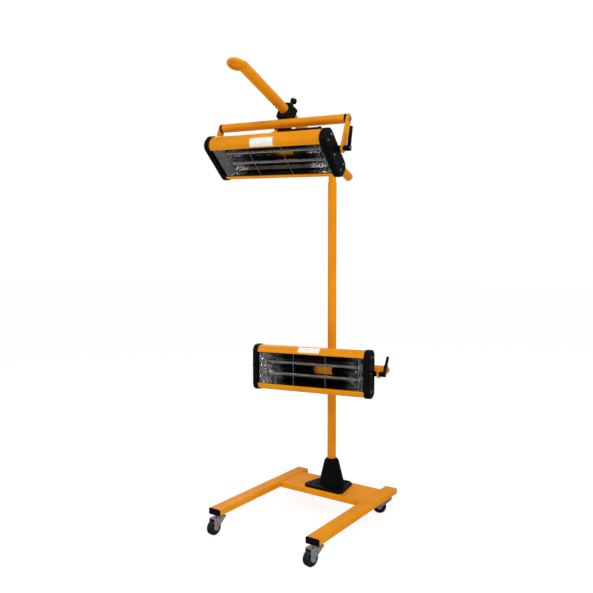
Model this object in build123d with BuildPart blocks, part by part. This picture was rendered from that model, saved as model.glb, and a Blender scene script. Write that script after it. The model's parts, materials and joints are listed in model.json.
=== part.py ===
from build123d import *
import os
from math import asin, cos, degrees, radians, sin, tan

# Infrared paint curing lamp on a wheeled stand, in millimetres.
# The origin is on the floor under the column's axis. +Z is up and -Y is the open front of the base.

# Base frame
rail_pitch = 400.0          # centre to centre of the two side rails
rail_width = 50.0
rail_height = 22.0
rail_wall = 2.0
rail_corner = 5.0
rail_front_reach = 435.0    # column axis to the rails' front ends
rail_back_reach = 97.0      # column axis to the rails' rear ends
rail_underside = 67.0       # floor to the underside of the rails
plate_front_reach = 86.0    # column axis to the front fold of the cross plate
plate_back_reach = 66.0
plate_thickness = 3.0
plate_drop = 3.0            # how far the plate lies below the rails' top
plate_bend = 3.0
plug_cap = 4.0              # the plugs' part outside the tube
plug_depth = 12.0
plug_edge = 2.0
plug_clearance = 0.2

# Column and its foot
column_diameter = 32.0
tube_wall = 2.0
column_top = 1229.0
fit_clearance = 0.05        # radial, for every shaft and its bore
body_gap = 0.3              # between faces that pass each other
foot_side = 100.0
foot_thickness = 5.0
socket_wall = 4.0
socket_height = 84.0
skirt_front_half = 86.0     # half the flange's width at its front edge
skirt_rear_half = 62.0
skirt_front_reach = 72.0    # column axis to the flange's front edge
skirt_rear_reach = 56.0
skirt_flange = 4.0
skirt_corner = 14.0
skirt_wall = 3.0
skirt_base_diameter = 96.0
skirt_top_diameter = 54.0
skirt_cone_height = 88.0
skirt_shoulder_height = 9.0
skirt_clearance = 1.0
foot_bolt_spacing = 80.0
foot_bolt_diameter = 6.0
foot_bolt_play = 0.2
foot_bolt_head = 11.0
foot_bolt_head_height = 4.0
foot_bolt_tail = 3.0
mast_below = 330.0          # length of mast inside the column at rest
mast_above = 33.0           # length of mast above the column at rest
mast_knob_angle = 125.0     # about the column, from +X
mast_knob_drop = 30.0
mast_boss_diameter = 16.0
mast_boss_length = 8.0
screw_diameter = 8.0        # every knob, lever and pivot screw
knob_diameter = 30.0
knob_height = 14.0
knob_stand = 3.0
knob_lobes = 7
knob_lobe_radius = 5.0
knob_edge = 1.5

# Casters
wheel_diameter = 50.0
wheel_width = 21.0
wheel_groove = 1.5
wheel_groove_width = 3.0
wheel_edge = 4.0
hub_diameter = 20.0
hub_width = 23.0
web_recess = 4.0
axle_diameter = 8.0
axle_head = 13.0
axle_head_height = 5.0
fork_gap = 23.6
fork_wall = 2.5
fork_leg_width = 24.0
fork_foot_radius = 9.0
fork_top_radius = 16.0
fork_top_clearance = 5.0    # wheel to the underside of the fork's crown
caster_trail = 29.0
caster_inset = 26.0         # rail end to the swivel axis
front_left_trail = 265.0    # the way each wheel trails at rest, from +X
front_right_trail = 256.0
rear_left_trail = 130.0
rear_right_trail = 205.0
race_diameter = 28.0
race_edge = 2.0
stem_diameter = 10.0
stem_play = 0.1
kingpin_diameter = 8.0
stem_nut = 17.0
stem_nut_height = 8.0
pin_head = 14.0
pin_head_height = 2.5

# Boom and its head
boom_yaw = 5.0              # degrees, the boom's heading off -Y towards +X
boom_pitch = 17.3           # degrees above the horizontal
boom_roll = -11.0             # degrees, the upper block about the boom
boom_height = 1314.0        # floor to the boom's pivot bolt
boom_diameter = 32.0
boom_front = 609.0          # pivot to the front end of the tube
boom_rear = 151.0
head_length = 40.0
head_cheek = 8.0
head_shoulder = 12.0
head_plug = 40.0
head_slot_depth = 44.0
pivot_diameter = 10.0
nose_diameter = 56.0
nose_thickness = 9.0
nose_edge = 3.0
nose_drop = 14.0            # how far the pad lies below the boom's axis
nose_taper = 23.0
nose_flat_width = 44.0
nose_insert = 20.0
nose_recess_diameter = 42.0
nose_recess_depth = 5.0
boom_plug_length = 15.0
boom_plug_cap = 3.0
boom_plug_edge = 1.5

# Clamp block, the same for both lamps
block_width = 44.0
block_depth = 44.0
block_above = 24.0          # tube axis to the block's outer end
block_corner = 8.0
block_edge = 2.0
block_step = 14.0           # how far the block's front is cut back behind the yoke's bar
block_ledge = 26.0          # yoke bolt to the ledge of that step
arm_drop = 54.0             # tube axis to the yoke's pivot bolt
arm_tail = 5.0              # how far the block's round end is set below that bolt
yoke_bolt_diameter = 10.0
yoke_bolt_head = 17.0
yoke_bolt_head_height = 7.0
upper_block_reach = 345.0   # boom pivot to the middle of the upper block
clamp_knob_diameter = 21.0
clamp_knob_height = 13.0
clamp_knob_stand = 18.0
clamp_knob_edge = 4.0
clamp_knob_set_back = 12.0

# Yoke
bar_diameter = 28.0
bar_plug_flange = 8.0
bar_plug_depth = 18.0
leg_length = 98.0
leg_width = 28.0
leg_thickness = 4.5
pivot_head = 14.0
pivot_head_height = 5.0
washer_diameter = 14.0
washer_thickness = 4.0
lever_hub_diameter = 17.0
lever_hub_length = 18.0
lever_length = 64.0
lever_lean = 5.0            # degrees, the handle away from the leg
lever_foot_share = 0.7      # where the handle stands along its hub
lever_root = 11.0
lever_tip = 8.0
lever_tip_shift = 7.0

# Lamp head
housing_length = 406.0
housing_height = 160.0
housing_depth = 54.0
housing_wall = 2.0
housing_corner = 22.0
opening_height = 114.0
face_reach = 46.0           # pivot axis to the face of the lamp
cap_thickness = 20.0
cap_overlap = 3.0
cap_edge = 4.0
cap_boss_diameter = 18.0
cap_boss_length = 14.0
cap_register = 3.0
cap_register_wall = 3.0
cap_clearance = 0.2
cap_screw_diameter = 4.0
cap_screw_head = 7.5
cap_screw_head_height = 2.2
cap_screw_depth = 12.0
cap_screw_shares = ((-0.22, 0.36), (-0.22, 0.02), (-0.22, -0.36), (0.24, 0.36), (0.24, -0.36))
sheet_thickness = 0.8
reflector_inset = 4.5       # face of the lamp to the reflector's front edge
reflector_depth = 40.0
reflector_half_height = 56.0
reflector_play = 1.0
reflector_end_gap = 3.6
trough_shares = ((0.0, 1.0), (0.48, 0.91), (1.0, 0.61), (1.0, 0.29), (0.66, 0.0))
end_sheet_rake = 45.0       # how far the end sheets lean in over the reflector's depth
end_sheet_share = 1.01
window_length = 70.0        # the slot in the reflector's middle ridge
window_height = 28.0
window_offset = 38.0        # middle of the lamp to the middle of the slot
tube_diameter = 10.0
tube_pitch = 42.0
tube_set_back = 26.0        # face of the lamp to the tubes' axes
tube_end_gap = 25.0         # end of the housing to the end of the glass
tube_hole_play = 1.5
holder_width = 14.0
holder_height = 18.0
guard_wire = 1.4
guard_bend = 3.0
guard_wires = 4
guard_hook = 9.0            # how far each wire's ends turn back into the lamp
guard_lap = 3.0             # how far the wires reach behind the lips
guard_end_gap = 20.0        # end of the housing to the first wire
guard_clearance = 0.2
box_left = -28.0
box_right = 166.0
box_slope = 44.0
box_depth = 31.0
box_low = 22.0
box_high = 56.0
box_edge = 3.0
gland_diameter = 11.0
gland_length = 17.0
gland_inset = 10.0
gland_bore = 6.0
lower_lamp_height = 551.0   # floor to the lower lamp's pivot axis
lower_turn = 1.5            # degrees, the lower block about the column
lower_yoke_turn = 8.0       # degrees, the lower yoke about its bolt
upper_yoke_turn = 8.0
lower_bar_shift = 0.0       # yoke bolt to the middle of the bar
upper_bar_shift = 10.3
lower_lever_turn = 25.0     # degrees, the lever's handle back from upright
upper_lever_turn = 0.0
lower_tilt = 90.0           # degrees from the column's axis to the way the lamp faces
upper_tilt = 67.2           # degrees from the boom's axis to the way the lamp faces

clearance_end = 3.0         # how far a screw stops short of the end of its hole
overrun = 1.0               # how far every cut runs past what it cuts

# Places worked out from the sizes above
rail_top = rail_underside + rail_height
plate_top = rail_top - plate_drop
rail_length = rail_front_reach + rail_back_reach
column_radius = column_diameter / 2
column_bore = column_radius - tube_wall
mast_radius = column_bore - fit_clearance
mast_bore = mast_radius - tube_wall
foot_top = plate_top + foot_thickness
mast_top = column_top + mast_above
boom_radius = boom_diameter / 2
boom_bore = boom_radius - tube_wall
screw_bore = screw_diameter / 2 + fit_clearance
bar_radius = bar_diameter / 2
bar_bore = bar_radius - tube_wall
bar_offset = block_depth / 2 - block_step + bar_radius + body_gap
housing_half = housing_length / 2
cap_outside = housing_half + cap_thickness
bar_end = cap_outside + cap_boss_length
bar_half_length = bar_end - bar_plug_flange
leg_inside = bar_end + body_gap
leg_outside = leg_inside + leg_thickness
tube_half_length = housing_half - tube_end_gap
guard_half_length = housing_half - guard_end_gap
section_centre = housing_depth / 2 - face_reach
housing_rear = housing_depth - face_reach


def keep(piece, label):
    """Name a finished piece and write it as its own file."""
    piece.part.label = label
    os.makedirs("parts", exist_ok=True)
    export_step(piece.part, f"parts/{label}.step")


def on(frame, plane):
    """Place a plane that is given in a frame's own axes."""
    return Plane(frame.location * plane.location)


def turned(heading, height=0.0, reach=0.0):
    """An upright frame on the column's axis whose X axis has a heading in degrees."""
    across = Vector(cos(radians(heading)), sin(radians(heading)), 0)
    return Plane(origin=across * reach + Vector(0, 0, height), x_dir=across, z_dir=(0, 0, 1))


def star(radius, lobes, lobe_radius):
    """A round knob's outline with finger hollows round it."""
    Circle(radius)
    with PolarLocations(radius + lobe_radius / 2, lobes):
        Circle(lobe_radius, mode=Mode.SUBTRACT)


# Side rails: rectangular tubes with a hole under each end for the caster's stem
caster_front = rail_front_reach - caster_inset
caster_back = rail_back_reach - caster_inset
for side, label in ((-1, "rail_left"), (1, "rail_right")):
    rail_x = side * rail_pitch / 2
    with BuildPart() as rail:
        with BuildSketch(Plane.XZ.offset(rail_front_reach)):
            with Locations((rail_x, rail_underside + rail_height / 2)):
                RectangleRounded(rail_width, rail_height, rail_corner)
                RectangleRounded(
                    rail_width - 2 * rail_wall,
                    rail_height - 2 * rail_wall,
                    rail_corner / 2,
                    mode=Mode.SUBTRACT,
                )
        extrude(amount=-rail_length)
        with BuildSketch(Plane.XY.offset(rail_underside)):
            with Locations((rail_x, -caster_front), (rail_x, caster_back)):
                Circle(stem_diameter / 2 + stem_play)
        extrude(amount=rail_wall + overrun, mode=Mode.SUBTRACT)
    keep(rail, label)

# Cross plate: a sheet folded down at the front and the back, welded between the rails
plate_half = rail_pitch / 2 - rail_width / 2
with BuildPart() as cross_plate:
    with BuildSketch(Plane.YZ.offset(-plate_half)):
        with BuildLine():
            Polyline(
                (-plate_front_reach, rail_underside),
                (-plate_front_reach, plate_top),
                (plate_back_reach, plate_top),
                (plate_back_reach, rail_underside),
                (plate_back_reach - plate_thickness, rail_underside),
                (plate_back_reach - plate_thickness, plate_top - plate_thickness),
                (plate_thickness - plate_front_reach, plate_top - plate_thickness),
                (plate_thickness - plate_front_reach, rail_underside),
                close=True,
            )
        make_face()
    extrude(amount=2 * plate_half)
    fillet(cross_plate.edges().filter_by(Axis.X).group_by(Axis.Z)[-1], plate_bend)
    with BuildSketch(Plane.XY.offset(plate_top)):
        with GridLocations(foot_bolt_spacing, foot_bolt_spacing, 2, 2):
            Circle(foot_bolt_diameter / 2 + foot_bolt_play)
    extrude(amount=-plate_thickness - overrun, mode=Mode.SUBTRACT)
keep(cross_plate, "cross_plate")

# Rail plugs: a rounded cap outside and a square shank inside each tube end
with BuildPart() as rail_plugs:
    for end_y, way in ((-rail_front_reach, -1), (rail_back_reach, 1)):
        for side in (-1, 1):
            mouth = Plane(
                origin=(side * rail_pitch / 2, end_y, rail_underside + rail_height / 2),
                x_dir=(1, 0, 0),
                z_dir=(0, way, 0),
            )
            with BuildSketch(mouth):
                RectangleRounded(rail_width, rail_height, rail_corner)
            extrude(amount=plug_cap)
            with BuildSketch(mouth):
                RectangleRounded(
                    rail_width - 2 * rail_wall - 2 * plug_clearance,
                    rail_height - 2 * rail_wall - 2 * plug_clearance,
                    rail_corner / 2,
                )
            extrude(amount=-plug_depth)
    fillet(rail_plugs.faces().group_by(Axis.Y)[0].edges(), plug_edge)
    fillet(rail_plugs.faces().group_by(Axis.Y)[-1].edges(), plug_edge)
keep(rail_plugs, "rail_plugs")

# Column socket: a square foot with an upright tube welded on it
socket_radius = column_radius + fit_clearance
with BuildPart() as column_socket:
    with BuildSketch(Plane.XY.offset(plate_top)):
        Rectangle(foot_side, foot_side)
        with GridLocations(foot_bolt_spacing, foot_bolt_spacing, 2, 2):
            Circle(foot_bolt_diameter / 2 + foot_bolt_play, mode=Mode.SUBTRACT)
    extrude(amount=foot_thickness)
    with BuildSketch(Plane.XY.offset(foot_top)):
        Circle(socket_radius + socket_wall)
        Circle(socket_radius, mode=Mode.SUBTRACT)
    extrude(amount=socket_height)
keep(column_socket, "column_socket")

# Skirt: a flange over the foot, wider at the front, with a moulded cone up to the column
skirt_base = foot_top + skirt_flange
skirt_shoulder = skirt_base + skirt_cone_height
skirt_top = skirt_shoulder + skirt_shoulder_height
skirt_mouth = column_radius + skirt_clearance
with BuildPart() as column_skirt:
    with BuildSketch(Plane.XY.offset(plate_top)):
        with BuildLine():
            Polyline(
                (-skirt_front_half, -skirt_front_reach),
                (skirt_front_half, -skirt_front_reach),
                (skirt_rear_half, skirt_rear_reach),
                (-skirt_rear_half, skirt_rear_reach),
                close=True,
            )
        make_face()
        chamfer(vertices(), skirt_corner)
    extrude(amount=foot_thickness + skirt_flange)
    fillet(column_skirt.faces().sort_by(Axis.Z)[-1].edges(), skirt_flange / 2)
    with BuildSketch(Plane.XZ):
        with BuildLine():
            Polyline(
                (0, skirt_base),
                (skirt_base_diameter / 2, skirt_base),
                (skirt_top_diameter / 2, skirt_shoulder),
                (skirt_mouth + skirt_wall / 2, skirt_top),
                (0, skirt_top),
                close=True,
            )
        make_face()
    revolve(axis=Axis.Z)
    with BuildSketch(Plane.XZ):
        with BuildLine():
            Polyline(
                (0, foot_top),
                (skirt_base_diameter / 2 - skirt_wall, foot_top),
                (skirt_base_diameter / 2 - skirt_wall, skirt_base),
                (skirt_top_diameter / 2 - skirt_wall, skirt_shoulder - skirt_wall),
                (skirt_mouth, skirt_shoulder - skirt_wall / 2),
                (skirt_mouth, skirt_top + overrun),
                (0, skirt_top + overrun),
                close=True,
            )
        make_face()
    revolve(axis=Axis.Z, mode=Mode.SUBTRACT)
    with BuildSketch(Plane.XY.offset(plate_top)):
        Rectangle(foot_side + skirt_clearance, foot_side + skirt_clearance)
    extrude(amount=foot_thickness, mode=Mode.SUBTRACT)
    with BuildSketch(Plane.XY.offset(foot_top)):
        with GridLocations(foot_bolt_spacing, foot_bolt_spacing, 2, 2):
            Circle(foot_bolt_diameter / 2 + foot_bolt_play)
    extrude(amount=skirt_flange + overrun, mode=Mode.SUBTRACT)
keep(column_skirt, "column_skirt")

# Four button-head bolts through the skirt, the foot and the cross plate
with BuildPart() as foot_bolts:
    with BuildSketch(Plane.XY.offset(skirt_base)):
        with GridLocations(foot_bolt_spacing, foot_bolt_spacing, 2, 2):
            Circle(foot_bolt_head / 2)
    extrude(amount=foot_bolt_head_height)
    fillet(foot_bolts.faces().group_by(Axis.Z)[-1].edges(), foot_bolt_head_height / 2)
    with BuildSketch(Plane.XY.offset(skirt_base)):
        with GridLocations(foot_bolt_spacing, foot_bolt_spacing, 2, 2):
            Circle(foot_bolt_diameter / 2)
    extrude(amount=-(skirt_flange + foot_thickness + plate_thickness + foot_bolt_tail))
keep(foot_bolts, "foot_bolts")

# Column: a long tube with a threaded boss for the height knob
knob_frame = turned(mast_knob_angle, column_top - mast_knob_drop)
boss_end = column_radius + mast_boss_length
with BuildPart() as column_tube:
    with BuildSketch(Plane.XY.offset(foot_top)):
        Circle(column_radius)
    extrude(amount=column_top - foot_top)
    with BuildSketch(on(knob_frame, Plane.YZ)):
        Circle(mast_boss_diameter / 2)
    extrude(amount=boss_end)
    with BuildSketch(Plane.XY.offset(foot_top - overrun)):
        Circle(column_bore)
    extrude(amount=column_top - foot_top + 2 * overrun, mode=Mode.SUBTRACT)
    with BuildSketch(on(knob_frame, Plane.YZ)):
        Circle(screw_bore)
    extrude(amount=boss_end + overrun, mode=Mode.SUBTRACT)
keep(column_tube, "column_tube")

# Mast: the thinner tube that slides in the column
with BuildPart() as column_mast:
    with BuildSketch(Plane.XY.offset(column_top - mast_below)):
        Circle(mast_radius)
        Circle(mast_bore, mode=Mode.SUBTRACT)
    extrude(amount=mast_below + mast_above)
keep(column_mast, "column_mast")

# Height knob: a lobed grip on a screw that presses on the mast
grip_start = boss_end + knob_stand
with BuildPart() as height_knob:
    with BuildSketch(on(knob_frame, Plane.YZ.offset(grip_start))):
        star(knob_diameter / 2, knob_lobes, knob_lobe_radius)
    extrude(amount=knob_height)
    fillet(height_knob.faces().sort_by(Axis((0, 0, 0), knob_frame.x_dir))[-1].edges(), knob_edge)
    with BuildSketch(on(knob_frame, Plane.YZ.offset(mast_radius + fit_clearance))):
        Circle(screw_diameter / 2)
    extrude(amount=grip_start - mast_radius - fit_clearance)
keep(height_knob, "height_knob")

# Casters: a stem fixed in the rail, a fork that swivels on it and a wheel on an axle bolt
wheel_radius = wheel_diameter / 2
crown_under = wheel_diameter + fork_top_clearance
crown_top = crown_under + fork_wall
race_under = crown_top + body_gap
hub_half = hub_width / 2
casters = (
    ("front_left", -rail_pitch / 2, -caster_front, front_left_trail),
    ("front_right", rail_pitch / 2, -caster_front, front_right_trail),
    ("rear_left", -rail_pitch / 2, caster_back, rear_left_trail),
    ("rear_right", rail_pitch / 2, caster_back, rear_right_trail),
)

with BuildPart() as caster_stems:
    for name, stem_x, stem_y, heading in casters:
        with BuildSketch(Plane.XY.offset(race_under)):
            with Locations((stem_x, stem_y)):
                Circle(race_diameter / 2)
        extrude(amount=rail_underside - race_under)
        with BuildSketch(Plane.XY.offset(rail_underside)):
            with Locations((stem_x, stem_y)):
                Circle(stem_diameter / 2)
        extrude(amount=rail_wall)
        with BuildSketch(Plane.XY.offset(rail_underside + rail_wall)):
            with Locations((stem_x, stem_y)):
                RegularPolygon(stem_nut / 2, 6)
        extrude(amount=stem_nut_height)
        with BuildSketch(Plane.XY.offset(race_under)):
            with Locations((stem_x, stem_y)):
                Circle(kingpin_diameter / 2)
        extrude(amount=-(fork_wall + 2 * body_gap))
        with BuildSketch(Plane.XY.offset(crown_under - body_gap)):
            with Locations((stem_x, stem_y)):
                Circle(pin_head / 2)
        extrude(amount=-pin_head_height)
keep(caster_stems, "caster_stems")

for name, stem_x, stem_y, heading in casters:
    ahead = Vector(cos(radians(heading)), sin(radians(heading)), 0)
    swivel = Plane(origin=(stem_x, stem_y, 0), x_dir=ahead, z_dir=(0, 0, 1))
    axle_place = Location((caster_trail, 0, wheel_radius))
    side_plane = Plane(swivel.location * axle_place * Plane.XZ.location)
    half_gap = fork_gap / 2
    with BuildPart() as fork:
        with BuildSketch(side_plane):
            with BuildLine():
                Polyline(
                    (-caster_trail - fork_top_radius, crown_under - wheel_radius),
                    (-fork_foot_radius, 0),
                    (fork_foot_radius, 0),
                    (fork_foot_radius, crown_under - wheel_radius - fork_foot_radius),
                    (fork_foot_radius - fork_wall, crown_top - wheel_radius),
                    (-caster_trail - fork_top_radius, crown_top - wheel_radius),
                    close=True,
                )
            make_face()
            Circle(fork_foot_radius)
            Circle(axle_diameter / 2 + fit_clearance, mode=Mode.SUBTRACT)
        extrude(amount=half_gap + fork_wall, both=True)
        with BuildSketch(side_plane):
            Rectangle(4 * wheel_diameter, 2 * (crown_under - wheel_radius))
        extrude(amount=half_gap, both=True, mode=Mode.SUBTRACT)
        with BuildSketch(on(swivel, Plane.XY.offset(crown_under))):
            Circle(fork_top_radius)
        extrude(amount=fork_wall)
        with BuildSketch(on(swivel, Plane.XY.offset(crown_under))):
            Circle(kingpin_diameter / 2 + fit_clearance)
        extrude(amount=fork_wall, mode=Mode.SUBTRACT)
        with BuildSketch(side_plane.offset(-half_gap - fork_wall)):
            Circle(axle_diameter / 2)
        extrude(amount=2 * half_gap + 2 * fork_wall)
        for face, way in ((half_gap + fork_wall, 1), (-half_gap - fork_wall, -1)):
            with BuildSketch(side_plane.offset(face)):
                RegularPolygon(axle_head / 2, 6)
            extrude(amount=way * axle_head_height)
    keep(fork, f"caster_fork_{name}")

    wheel_profile = Plane(swivel.location * axle_place * Plane.XY.location)
    spin_axis = Axis(wheel_profile.origin, wheel_profile.y_dir)
    half_width = wheel_width / 2
    with BuildPart() as wheel:
        with BuildSketch(wheel_profile):
            with Locations((wheel_radius / 2, 0)):
                Rectangle(wheel_radius, wheel_width)
            fillet(vertices().group_by(Axis.X)[-1], wheel_edge)
            with Locations((hub_diameter / 4, 0)):
                Rectangle(hub_diameter / 2, hub_width)
            for way in (-1, 1):
                with Locations(((hub_diameter / 2 + wheel_radius * 3 / 4) / 2, way * half_width)):
                    Rectangle(
                        wheel_radius * 3 / 4 - hub_diameter / 2,
                        web_recess,
                        mode=Mode.SUBTRACT,
                    )
            with Locations((wheel_radius, 0)):
                Rectangle(2 * wheel_groove, wheel_groove_width, mode=Mode.SUBTRACT)
            with Locations((0, 0)):
                Rectangle(axle_diameter + 2 * fit_clearance, 2 * hub_width, mode=Mode.SUBTRACT)
        revolve(axis=spin_axis)
    keep(wheel, f"caster_wheel_{name}")


# Boom head: a plug that turns in the mast, with a fork for the boom
head = turned(boom_yaw, mast_top)
slot_half = boom_radius + body_gap
head_half = slot_half + head_cheek
pivot_rise = boom_height - mast_top
pivot_plane = on(head, Plane.YZ)
pivot_hole = pivot_diameter / 2 + fit_clearance
with BuildPart() as boom_head:
    with BuildSketch(on(head, Plane.YZ.offset(-head_half))):
        with Locations((0, (pivot_rise + head_shoulder) / 2)):
            Rectangle(head_length, pivot_rise - head_shoulder)
        with Locations((0, pivot_rise)):
            Circle(head_length / 2)
    extrude(amount=2 * head_half)
    with BuildSketch(on(head, Plane.XY)):
        Circle(head_half)
    extrude(amount=head_shoulder)
    with BuildSketch(on(head, Plane.YZ.offset(-slot_half))):
        with Locations((0, pivot_rise + head_length / 2)):
            Rectangle(2 * head_length, 2 * head_slot_depth + head_length)
    extrude(amount=2 * slot_half, mode=Mode.SUBTRACT)
    with BuildSketch(on(head, Plane.XY)):
        Circle(mast_bore - fit_clearance)
    extrude(amount=-head_plug)
    with BuildSketch(on(head, Plane.YZ.offset(-head_half))):
        with Locations((0, pivot_rise)):
            Circle(pivot_hole)
    extrude(amount=2 * head_half, mode=Mode.SUBTRACT)
keep(boom_head, "boom_head")

# Boom frame: X across, Y square to the boom and upwards, Z along it to the front
boom_across = head.x_dir
boom_ahead = Vector(
    sin(radians(boom_yaw)) * cos(radians(boom_pitch)),
    -cos(radians(boom_yaw)) * cos(radians(boom_pitch)),
    sin(radians(boom_pitch)),
)
boom_pivot = Vector(0, 0, boom_height)
boom_frame = Plane(origin=boom_pivot, x_dir=boom_across, z_dir=boom_ahead)

with BuildPart() as boom_tube:
    with BuildSketch(boom_frame.offset(-boom_rear)):
        Circle(boom_radius)
        Circle(boom_bore, mode=Mode.SUBTRACT)
    extrude(amount=boom_rear + boom_front)
    with BuildSketch(on(boom_frame, Plane.YZ.offset(-boom_diameter))):
        Circle(pivot_hole)
    extrude(amount=2 * boom_diameter, mode=Mode.SUBTRACT)
keep(boom_tube, "boom_tube")

# Nose: a shank in the boom's front end, flattened into a round pad with a dish below
nose_reach = boom_front + nose_taper
pad_reach = nose_reach + (nose_diameter - nose_flat_width) / 2
with BuildPart() as boom_nose:
    with BuildSketch(boom_frame.offset(boom_front)):
        Circle(boom_bore - fit_clearance)
    extrude(amount=-nose_insert)
    with BuildSketch(boom_frame.offset(boom_front)):
        Circle(boom_radius)
    with BuildSketch(boom_frame.offset(nose_reach)):
        with Locations((0, -nose_drop)):
            Ellipse(nose_flat_width / 2, nose_thickness / 2)
    loft()
    with BuildSketch(on(boom_frame, Plane.XZ.offset(nose_drop - nose_thickness / 2))):
        with Locations((0, pad_reach)):
            Circle(nose_diameter / 2)
    pad = extrude(amount=nose_thickness, mode=Mode.PRIVATE)
    pad_rims = pad.edges().filter_by(GeomType.CIRCLE)
    add(pad.fillet(nose_edge, pad_rims))
    with BuildSketch(on(boom_frame, Plane.XZ.offset(nose_drop + nose_thickness / 2))):
        with Locations((0, pad_reach)):
            Circle(nose_recess_diameter / 2)
    extrude(amount=-nose_recess_depth, mode=Mode.SUBTRACT)
keep(boom_nose, "boom_nose")

with BuildPart() as boom_plug:
    with BuildSketch(boom_frame.offset(-boom_rear)):
        Circle(boom_radius)
    extrude(amount=-boom_plug_cap)
    fillet(boom_plug.faces().sort_by(Axis(boom_pivot, boom_ahead))[0].edges(), boom_plug_edge)
    with BuildSketch(boom_frame.offset(-boom_rear)):
        Circle(boom_bore - fit_clearance)
    extrude(amount=boom_plug_length)
keep(boom_plug, "boom_plug")


def lever(frame, way, start, stud_reach, stud_radius, label, up):
    """A ratchet lever: stud, washer, round hub and a tapered handle, turning on the frame's X axis.

    way is the side of the frame that it stands on, start is where its washer sits and
    stud_reach is how far the stud runs back towards the frame's middle.
    """
    out = frame.x_dir * way
    face = Plane(origin=frame.origin + out * start, x_dir=up.cross(out), z_dir=out)
    hub_start = washer_thickness
    handle_foot = face.origin + out * (hub_start + lever_hub_length * lever_foot_share)
    handle_way = (up * cos(radians(lever_lean)) + out * sin(radians(lever_lean))).normalized()
    root = Plane(origin=handle_foot, x_dir=face.x_dir, z_dir=handle_way)
    with BuildPart() as handle:
        with BuildSketch(face):
            Circle(stud_radius)
        extrude(amount=-stud_reach)
        with BuildSketch(face):
            Circle(washer_diameter / 2)
        extrude(amount=washer_thickness)
        with BuildSketch(face.offset(hub_start)):
            Circle(lever_hub_diameter / 2)
        extrude(amount=lever_hub_length, taper=-lever_lean / 2)
        with BuildSketch(root):
            RectangleRounded(lever_root, lever_root, lever_root / 4)
        with BuildSketch(root.offset(lever_length)):
            with Locations((0, 0)):
                RectangleRounded(lever_tip, lever_tip, lever_tip / 4)
        loft()
        fillet(handle.faces().sort_by(Axis(handle_foot, handle_way))[-1].edges(), lever_tip / 5)
    keep(handle, label)


lever(
    boom_frame,
    -1,
    head_half + body_gap,
    2 * head_half + body_gap,
    pivot_diameter / 2,
    "boom_lever",
    boom_frame.z_dir * -1,
)


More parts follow.
